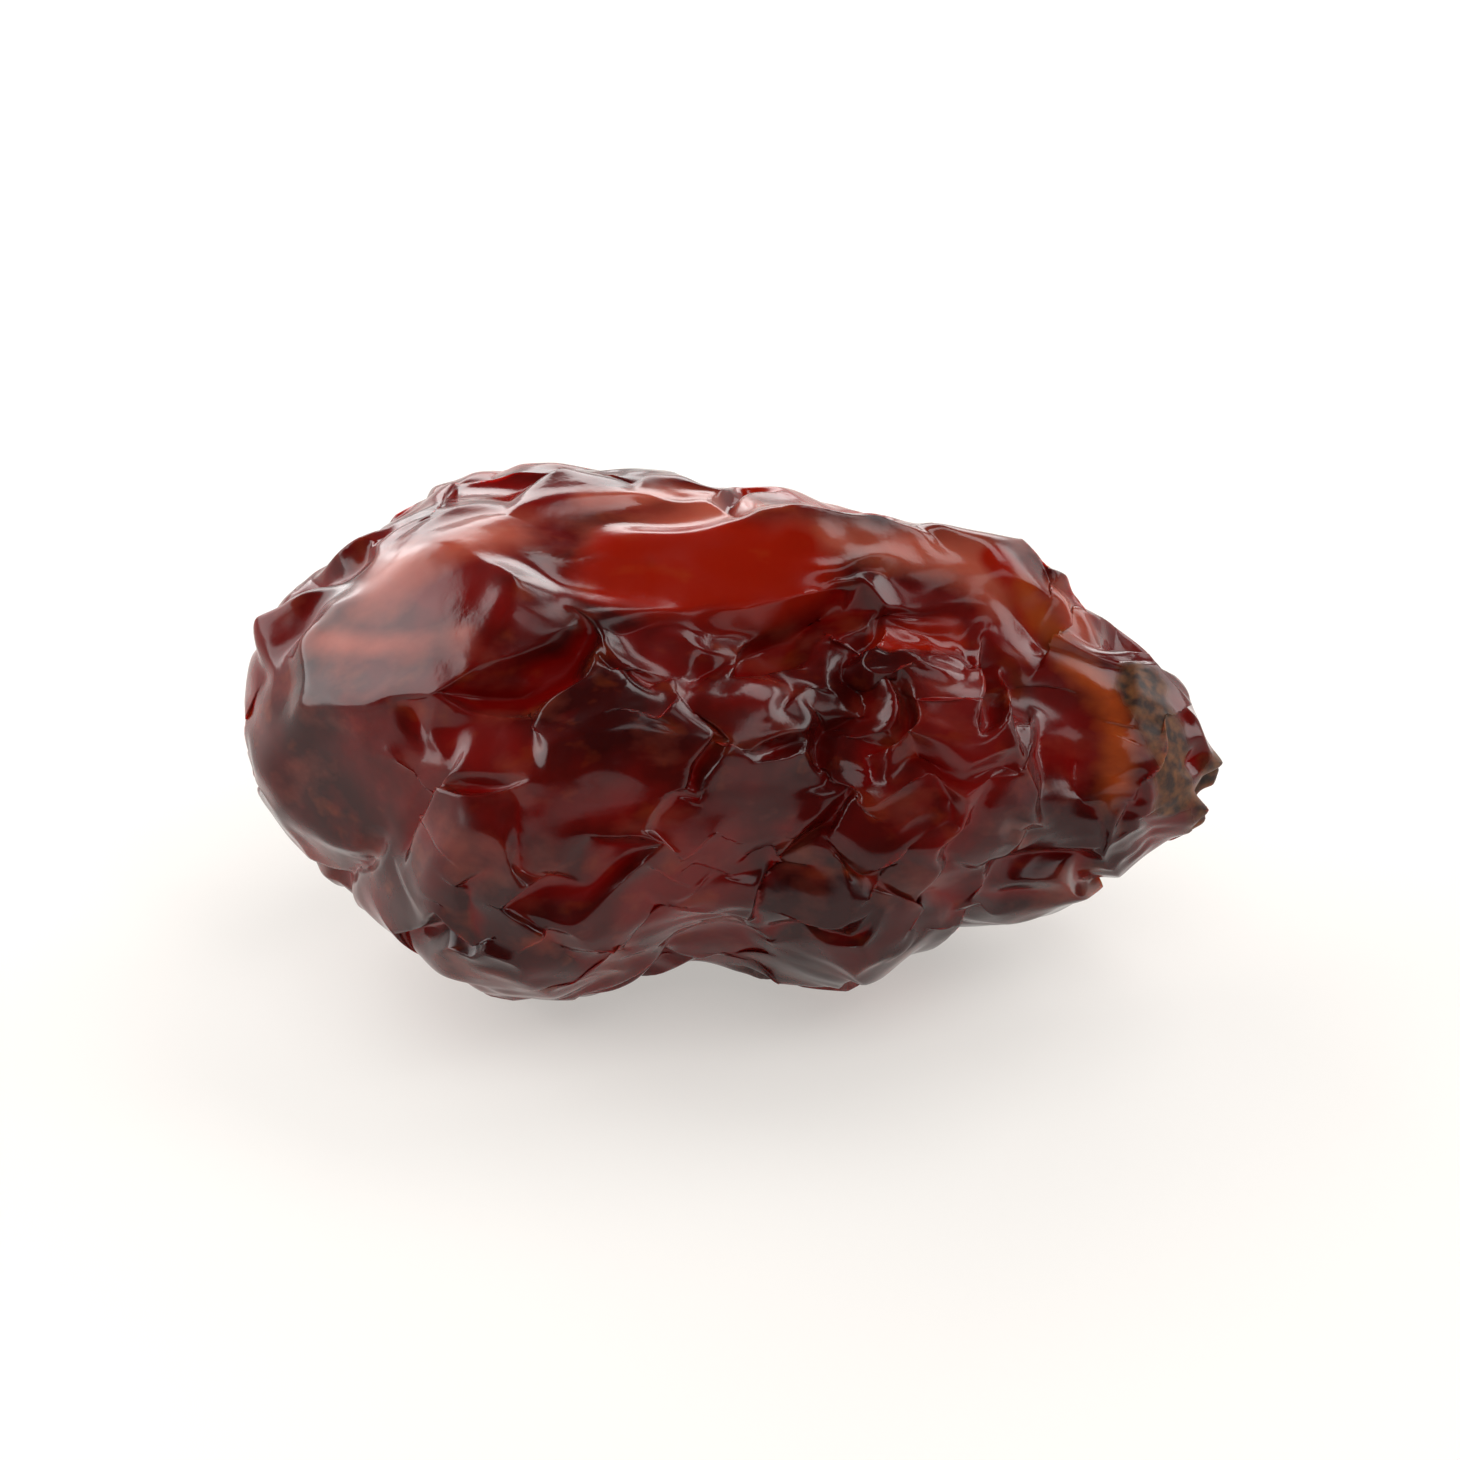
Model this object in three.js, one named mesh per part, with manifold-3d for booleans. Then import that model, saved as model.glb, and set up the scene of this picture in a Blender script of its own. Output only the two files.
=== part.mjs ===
// One dried cranberry, whole, lying on its side on a small flat spot.
// Millimetres, +Z up. The berry's long axis runs along X, from the blossom end (-X) to the stem end (+X).
// The side at -Y is the wrinkled one, and the flattened top faces +Z.
import * as THREE from "three";
import { mergeVertices } from "three/addons/utils/BufferGeometryUtils.js";
import Module from "manifold-3d";

// ---- driving dimensions ----
const LENGTH = 14.5; // blossom end to stem end, without the stem scar's rim
const WIDTH = 8.8; // of the plain ellipsoid that the girth curve then swells and pinches
const HEIGHT = 7.3;
const SQUARENESS = 2.15; // cross-section exponent: 2 is an ellipse
const FOOT_DEPTH = 0.3; // how much of the underside is pressed flat
const NET_DETAIL = 16; // the skin net has 20 * (NET_DETAIL + 1)^2 triangles

const HALF_LENGTH = LENGTH / 2;
const HALF_WIDTH = WIDTH / 2;
const HALF_HEIGHT = HEIGHT / 2;

// Girth along the berry against a plain ellipsoid's: [share of the half length, girth].
const GIRTH = [
  [-1.0, 1.4],
  [-0.9, 1.06],
  [-0.72, 1.1],
  [-0.57, 1.17],
  [-0.38, 1.15],
  [-0.14, 1.01],
  [0.1, 0.98],
  [0.35, 1.0],
  [0.55, 0.96],
  [0.72, 0.98],
  [0.84, 0.88],
  [1.0, 0.5],
];
// The middle line leans towards -Y and drops at the stem end: [share of the half length, y, z].
const LEAN = [
  [-1.0, 0.35, 0.2],
  [-0.8, 0.0, 0.0],
  [-0.3, 0.0, 0.0],
  [0.1, 0.15, -0.1],
  [0.33, 0.15, -0.4],
  [0.6, 0.0, -0.25],
  [0.86, -0.5, -0.5],
  [1.0, -0.8, -0.8],
];

// ---- small helpers ----
const smooth = (a, b, v) => THREE.MathUtils.smoothstep(v, a, b);

// Value at v of a smooth line through rows of [v, value, ...].
function along(rows, v, column = 1) {
  let i = 0;
  while (i < rows.length - 2 && v > rows[i + 1][0]) i += 1;
  const slope = (k) => {
    const a = rows[Math.max(k - 1, 0)];
    const b = rows[Math.min(k + 1, rows.length - 1)];
    return (b[column] - a[column]) / (b[0] - a[0]);
  };
  const [low, high] = [rows[i], rows[i + 1]];
  const span = high[0] - low[0];
  const u = THREE.MathUtils.clamp((v - low[0]) / span, 0, 1);
  const [u2, u3] = [u * u, u * u * u];
  return (
    low[column] * (2 * u3 - 3 * u2 + 1) +
    slope(i) * span * (u3 - 2 * u2 + u) +
    high[column] * (3 * u2 - 2 * u3) +
    slope(i + 1) * span * (u3 - u2)
  );
}

// A repeatable number from -1 to 1 for a whole number.
function chance(k) {
  const s = Math.sin(k * 127.1 + 311.7) * 43758.5453;
  return 2 * (s - Math.floor(s)) - 1;
}

// ---- the plump body, before it wrinkles ----
const squared = (v) => Math.sign(v) * Math.abs(v) ** (2 / SQUARENESS);

// Point on the body for a unit direction.
function bodyPoint(d) {
  const angle = Math.atan2(-d.y, d.z);
  const girth = along(GIRTH, d.x) * Math.sqrt(Math.max(0, 1 - d.x * d.x));
  return new THREE.Vector3(
    HALF_LENGTH * d.x,
    along(LEAN, d.x, 1) - HALF_WIDTH * girth * squared(Math.sin(angle)),
    along(LEAN, d.x, 2) + HALF_HEIGHT * girth * squared(Math.cos(angle)),
  );
}

// Outward normal of the body there, near enough.
function bodyNormal(p) {
  const t = THREE.MathUtils.clamp(p.x / HALF_LENGTH, -1, 1);
  const girth = along(GIRTH, t);
  return new THREE.Vector3(
    p.x / HALF_LENGTH ** 2,
    (p.y - along(LEAN, t, 1)) / (HALF_WIDTH * girth) ** 2,
    (p.z - along(LEAN, t, 2)) / (HALF_HEIGHT * girth) ** 2,
  ).normalize();
}

// Point on the body at x millimetres along it and an angle in degrees from the top towards -Y.
function spot([x, degrees]) {
  const share = THREE.MathUtils.clamp(x / HALF_LENGTH, -1, 1);
  const a = THREE.MathUtils.degToRad(degrees);
  const r = Math.sqrt(Math.max(0, 1 - share * share));
  return bodyPoint(new THREE.Vector3(share, -r * Math.sin(a), r * Math.cos(a)));
}

// ---- hand-set forms: places are [x in mm, degrees from the top towards -Y] ----
// Long folds. A positive depth is a groove, a negative one a raised pleat.
const FOLDS = [
  { at: [[-4.3, 50], [-2.2, 38], [0.6, 36], [1.2, 27]], depth: 0.42, width: 0.55 }, // edge of the top
  { at: [[0.8, 31], [2.2, 21], [4.0, 17], [4.9, 27]], depth: 0.8, width: 0.5 }, // groove under the top's pleat
  { at: [[1.0, 6], [2.6, -2], [4.6, -6]], depth: -0.5, width: 0.8 }, // the pleat itself
  { at: [[-3.9, 57], [-4.9, 88], [-5.9, 132]], depth: 0.6, width: 0.5 }, // long crease of the blossom end
  { at: [[2.1, 40], [1.9, 62], [1.2, 88]], depth: 0.85, width: 0.55 }, // deep crease of the belly
  { at: [[3.6, 100], [4.9, 106], [6.1, 118]], depth: 0.5, width: 0.5 }, // fold low at the stem end
  { at: [[5.2, 5], [5.6, 50], [5.5, 100]], depth: 0.75, width: 0.5 }, // first pleat round the stem end
  { at: [[-3.2, -62], [0.4, -48], [3.4, -70]], depth: 0.6, width: 0.65 }, // long fold of the far side
  { at: [[-5.4, -40], [-4.6, -85], [-5.2, -130]], depth: 0.45, width: 0.55 },
  { at: [[1.8, -95], [0.2, -118], [-2.4, -122]], depth: 0.5, width: 0.6 },
  { at: [[4.4, -50], [5.2, -95], [4.6, -140]], depth: 0.45, width: 0.55 },
  { at: [[-4.4, 140], [-4.9, 180], [-4.2, 215]], depth: 0.4, width: 0.55 }, // underside, each end of the flat spot
  { at: [[3.6, 146], [3.2, 180], [4.3, 212]], depth: 0.45, width: 0.55 },
  { at: [[0.2, 122], [-0.4, 150], [0.6, 172]], depth: 0.4, width: 0.5 },
];
// Broad dents and swellings: [place, depth, radius].
const DENTS = [
  [[-1.3, 14], 0.55, 2.1], // the clear hollow of the top
  [[-4.6, 8], -0.15, 1.8],
  [[-3.3, 50], 0.5, 0.7], // pocket under the top's edge
  [[0.2, 118], 0.5, 1.3], // waist of the lower side
  [[-2.8, 112], -0.35, 1.5],
  [[2.5, 112], -0.4, 1.1],
  [[4.1, 128], 0.45, 1.0],
  [[-5.4, 84], 0.35, 1.2],
  [[0.6, -70], 0.5, 1.6],
  [[3.2, -110], 0.35, 1.3],
  [[-3.6, -105], 0.4, 1.5],
];
// Flat panels of skin on the side at -Y: places. The rest of the skin gets them by a spiral.
const PANELS = [
  [-5.7, 22], [-3.9, 20], [-5.8, 66], [-4.6, 104], [-3.1, 74], [-3.6, 98],
  [-1.7, 56], [-1.4, 82], [-2.4, 122], [0.3, 50], [0.1, 76], [-0.2, 104],
  [1.5, 54], [2.7, 70], [1.0, 120], [2.4, 94], [3.3, 46], [3.9, 78],
  [4.7, 58], [5.1, 92], [3.4, 124], [6.3, 60],
];
const SPIRAL_PLACES = 400; // tried in turn, and kept where no other place is near
const PANEL_GAP = 2.1; // the least distance from a spiral place to any other
const PANEL_FLATNESS = 0.9;
const PANEL_LEVEL = 0.16; // how far panels stand above or below the body
const PANEL_REACH = 0.4; // the most that a panel moves the skin
const PANEL_EDGE = 4; // sharpness of the change from one panel to the next
const SEAM_DEPTH = 0.28; // groove between two panels
const SEAM_WIDTH = 0.35;

// ---- how far each form moves the skin outwards ----
const folds = FOLDS.map(({ at, depth, width }) => {
  const curve = new THREE.CatmullRomCurve3(at.map(spot));
  return { depth, width, points: curve.getPoints(24) };
});

function foldMove(p) {
  let move = 0;
  for (const { depth, width, points } of folds) {
    const nearest = Math.min(...points.map((q) => q.distanceTo(p)));
    move -= depth * Math.exp(-((nearest / width) ** 2));
  }
  return move;
}

const dents = DENTS.map(([at, depth, radius]) => ({ at: spot(at), depth, radius }));

function dentMove(p) {
  return dents.reduce((sum, d) => sum - d.depth * Math.exp(-((p.distanceTo(d.at) / d.radius) ** 2)), 0);
}

function spiralPlace(k) {
  const share = (2 * (k + 0.5)) / SPIRAL_PLACES - 1;
  const r = Math.sqrt(1 - share * share);
  const a = Math.PI * (3 - Math.sqrt(5)) * k;
  return bodyPoint(new THREE.Vector3(share, r * Math.sin(a), r * Math.cos(a)));
}

function makePanels() {
  const places = PANELS.map(spot);
  for (let k = 0; k < SPIRAL_PLACES; k += 1) {
    const place = spiralPlace(k);
    if (places.every((other) => other.distanceTo(place) > PANEL_GAP)) places.push(place);
  }
  return places.map((at, k) => ({
    at,
    normal: bodyNormal(at),
    level: PANEL_LEVEL * chance(k + 40),
    seam: 0.5 + 0.5 * Math.abs(chance(k + 90)),
  }));
}

const panels = makePanels();

function panelMove(p, normal) {
  const away = panels.map((panel) => panel.at.distanceTo(p));
  const nearest = Math.min(...away);
  let [sum, total, next] = [0, 0, Infinity];
  panels.forEach((panel, k) => {
    const weight = Math.exp(-PANEL_EDGE * (away[k] ** 2 - nearest ** 2));
    const facing = Math.max(0, panel.normal.dot(normal));
    const toPlane = panel.at.clone().sub(p).dot(panel.normal) + panel.level;
    sum += weight * facing * THREE.MathUtils.clamp(toPlane, -PANEL_REACH, PANEL_REACH);
    total += weight;
    if (away[k] > nearest) next = Math.min(next, away[k]);
  });
  const depth = SEAM_DEPTH * panels[away.indexOf(nearest)].seam;
  return (PANEL_FLATNESS * sum) / total - depth * Math.exp(-(((next - nearest) / SEAM_WIDTH) ** 2));
}

// How far panels show: the top stays nearly smooth.
function panelShare(d) {
  const angle = THREE.MathUtils.radToDeg(Math.atan2(-d.y, d.z));
  const top = smooth(58, 34, angle) * smooth(-34, -12, angle);
  return 1 - 0.75 * top;
}

// ---- the skin ----
const SOFTENING = 2; // rounds in which each point moves half way to the middle of its neighbours

function neighboursOf(index, count) {
  const sets = Array.from({ length: count }, () => new Set());
  for (let i = 0; i < index.length; i += 3) {
    const corners = [index[i], index[i + 1], index[i + 2]];
    corners.forEach((c) => corners.filter((other) => other !== c).forEach((other) => sets[c].add(other)));
  }
  return sets.map((set) => [...set]);
}

function soften(places, neighbours) {
  return places.map((p, i) => {
    const middle = new THREE.Vector3();
    neighbours[i].forEach((k) => middle.addScaledVector(places[k], 1 / neighbours[i].length));
    return p.clone().lerp(middle, 0.5);
  });
}

function skinGeometry() {
  const net = new THREE.IcosahedronGeometry(1, NET_DETAIL);
  net.deleteAttribute("normal");
  net.deleteAttribute("uv");
  const skin = mergeVertices(net, 1e-4);
  const at = skin.getAttribute("position");
  const d = new THREE.Vector3();
  let places = [];
  for (let i = 0; i < at.count; i += 1) {
    d.fromBufferAttribute(at, i).normalize();
    const p = bodyPoint(d);
    const normal = bodyNormal(p);
    const move = foldMove(p) + dentMove(p) + panelShare(d) * panelMove(p, normal);
    places.push(p.clone().addScaledVector(normal, move));
  }
  const neighbours = neighboursOf(skin.index.array, at.count);
  for (let round = 0; round < SOFTENING; round += 1) places = soften(places, neighbours);
  const foot = Math.min(...places.map((p) => p.z)) + FOOT_DEPTH;
  places.forEach((p, i) => at.setXYZ(i, p.x, p.y, Math.max(p.z, foot)));
  return skin;
}

// ---- the stem scar: a small ragged rim round a pit ----
const SCAR_RADIUS = 0.66;
const SCAR_PIT = 0.28;
const SCAR_HEIGHT = 0.8;
const SCAR_ROOT = 1.3; // how deep its root sits in the berry
const SCAR_RAGGED = 0.16;
const SCAR_SIDES = 14;

function scarGeometry() {
  const profile = [
    [0, -SCAR_ROOT],
    [SCAR_RADIUS * 1.1, -SCAR_ROOT],
    [SCAR_RADIUS * 1.1, 0],
    [SCAR_RADIUS, SCAR_HEIGHT * 0.6],
    [SCAR_RADIUS * 0.85, SCAR_HEIGHT],
    [SCAR_PIT * 1.4, SCAR_HEIGHT * 0.92],
    [SCAR_PIT * 0.7, SCAR_HEIGHT * 0.45],
    [0, SCAR_HEIGHT * 0.4],
  ].map(([r, y]) => new THREE.Vector2(r, y));
  const made = new THREE.LatheGeometry(profile, SCAR_SIDES);
  made.deleteAttribute("normal");
  made.deleteAttribute("uv");
  const scar = mergeVertices(made, 1e-4);
  const at = scar.getAttribute("position");
  for (let i = 0; i < at.count; i += 1) {
    const [x, y, z] = [at.getX(i), at.getY(i), at.getZ(i)];
    const turn = Math.round((Math.atan2(z, x) / Math.PI) * 7);
    const rag = y > SCAR_HEIGHT * 0.3 ? SCAR_RAGGED * chance(turn + 7) : 0;
    at.setXYZ(i, x * (1 + rag), y + rag, z * (1 + rag));
  }
  scar.rotateZ(-Math.PI / 2); // the rim now looks along +X
  scar.rotateY(THREE.MathUtils.degToRad(14)); // and a little down
  scar.rotateZ(THREE.MathUtils.degToRad(-12)); // and towards -Y
  return scar.translate(HALF_LENGTH - 0.45, -0.8, -0.62);
}

// ---- one solid ----
const wasm = await Module();
wasm.setup();

function solid(geometry) {
  return new wasm.Manifold(
    new wasm.Mesh({
      numProp: 3,
      vertProperties: geometry.getAttribute("position").array,
      triVerts: new Uint32Array(geometry.index.array),
    }),
  );
}

function berryGeometry() {
  const mesh = solid(skinGeometry()).add(solid(scarGeometry())).getMesh();
  const geometry = new THREE.BufferGeometry();
  geometry.setAttribute("position", new THREE.BufferAttribute(mesh.vertProperties, 3));
  geometry.setIndex(new THREE.BufferAttribute(mesh.triVerts, 1));
  geometry.computeBoundingBox();
  const { min, max } = geometry.boundingBox;
  geometry.translate(-(min.x + max.x) / 2, -(min.y + max.y) / 2, -min.z);
  geometry.computeVertexNormals();
  return geometry;
}

const berry = new THREE.Mesh(
  berryGeometry(),
  new THREE.MeshStandardMaterial({ color: 0x5a1712, roughness: 0.22, metalness: 0 }),
);
berry.name = "cranberry";

const part = new THREE.Group();
part.add(berry);

export default part;
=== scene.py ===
"""The looks of one dried cranberry: wrinkled skin, thin amber places and stem scar, on a pale floor.

All working lengths are millimetres until a mesh is made. +X runs to the stem end, +Z is up.
"""
import math

import bpy
import numpy as np
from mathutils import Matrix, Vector
from mathutils.bvhtree import BVHTree


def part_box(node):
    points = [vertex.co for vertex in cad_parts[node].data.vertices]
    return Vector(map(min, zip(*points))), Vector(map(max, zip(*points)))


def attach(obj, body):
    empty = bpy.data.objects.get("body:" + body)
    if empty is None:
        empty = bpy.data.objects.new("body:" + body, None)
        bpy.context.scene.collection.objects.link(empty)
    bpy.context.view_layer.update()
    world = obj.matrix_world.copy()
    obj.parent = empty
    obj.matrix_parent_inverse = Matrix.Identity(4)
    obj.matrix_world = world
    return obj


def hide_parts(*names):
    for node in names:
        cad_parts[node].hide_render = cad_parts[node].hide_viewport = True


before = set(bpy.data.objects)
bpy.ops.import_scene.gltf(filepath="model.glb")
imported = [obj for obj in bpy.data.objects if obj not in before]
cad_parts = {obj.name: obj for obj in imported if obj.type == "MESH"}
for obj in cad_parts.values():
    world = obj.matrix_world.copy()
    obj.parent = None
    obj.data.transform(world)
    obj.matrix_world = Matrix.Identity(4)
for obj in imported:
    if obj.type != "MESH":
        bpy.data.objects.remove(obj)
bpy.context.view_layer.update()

bl_info = {
    "name": "Dried Cranberry",
    "version": (1, 0, 0),
    "blender": (4, 5, 0),
    "location": "View3D > Sidebar > Cranberry",
    "description": "Wrinkles the skin of a dried cranberry over its solid and sets it on a pale floor",
    "category": "Object",
}

MM = 0.001
NODE = "cranberry"
FAR = 40  # mm, outside the berry on any side

# -------- the skin, in mm or as shares
NET_STEPS = 24  # cuts of each edge of the first net; the finished net is four times as fine
SHAPE_GAP = 0.25  # between points of the lines that places of another shape follow
TINT_GAP = 0.1  # between points of the lines that places of another colour follow
FACET_SPACING = 1.15  # between the random facets
FLAT_SHARE = 0.8  # how flat a placed flat place is pressed
MOST_LOOSE = 0.3  # the most that the skin may be too large anywhere
COVER_FALL = 0.85  # radius of a place over the distance where its cover has fallen to about a third
# The painted glow of light through the skin in the folds grows over this relief.
RELIEF = 0.2  # from the bottom of the folds to the top of the ridges, for the colour

# -------- the stem end, in mm
STEM_AXIS = np.array([0.95, -0.2, -0.24])  # the way that the stem points
STEM_AXIS /= np.linalg.norm(STEM_AXIS)
STEM_TIP = 0.3  # length of the solid's end that the stem stood on
STEM_DEPTH = 0.25  # from the solid's end to the place of the stem
SCAR_CAP = 1.15  # reach of the smooth cap that the scar is made from
SCAR_BACK = 1.6  # how far back from the stem the scar's looks reach
SCAR_EDGE = 0.35  # width over which the dull scar turns to glossy skin
RIM_HEIGHT = 0.24  # of the broken rim of the scar
RIM_WIDTH = 0.25
PIT_DEPTH = 0.75
NOSE_FRONT = 0.05  # how far the blunt nose stands before the stem's place
NOSE_SLOPE = 0.95  # how steeply the nose falls away from the rim of the scar
NOSE_LENGTH = 2.6  # how far back from the stem it reaches
NOSE_FADE = 3.2  # distance from the stem where it has died out

# -------- colours and clouds of the skin
# Places that only change the colour: how steep their edges are, the clouds that break the edges up, and how
# soft they are. Deep paints shade, pale paints sheen, and clear and amber paint the glow of thin skin.
TINTS = {
    # painted shade
    "deep": (2, "flesh", 0.5),
    # painted sheen
    "pale": (2, "veins", 0.5),
    # thin skin, with the glow of light through it painted as a brighter red
    "clear": (4, "flesh", 0.35),
    # thin skin, with the glow of light through it painted as orange
    "amber": (2, "streaks", 0.45),
}
EDGE_CLOUDS = 1.5  # how strongly the clouds break up the edge of such a place
EDGE_MIDDLE = 1.32  # cover and clouds together, halfway over the edge
SCAR_CLOUDS = 1.2  # how strongly streaks break up the edge of the scar
SCAR_RANGE = (0.9, 1.4)  # cover and clouds together where the scar starts and where it is full
# Clouds in the skin: name, size in mm, detail, how far they are drawn out along the berry. The cells of the
# skin and the fibres at the stem are about 0.05 mm wide. That is too fine to show, so grain and fibres are
# drawn coarser.
CLOUDS = [
    ("flesh", 1.3, 4.0, 1.0),
    ("blotches", 3.2, 3.0, 1.0),
    ("veins", 0.8, 4.0, 1.8),
    ("streaks", 0.5, 3.0, 1.5),
    ("fibres", 0.2, 4.0, 1.0),
    ("gloss", 0.9, 2.0, 1.0),
    ("grain", 0.25, 3.0, 1.0),
]

# -------- places on the berry
# A place is seen from a side: x along the berry and "up" across the view, from the middle of the outline.
SIDES = {"front": (0, 30), "back": (180, 30), "under": (0, -70)}  # azimuth and elevation, in degrees

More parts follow.
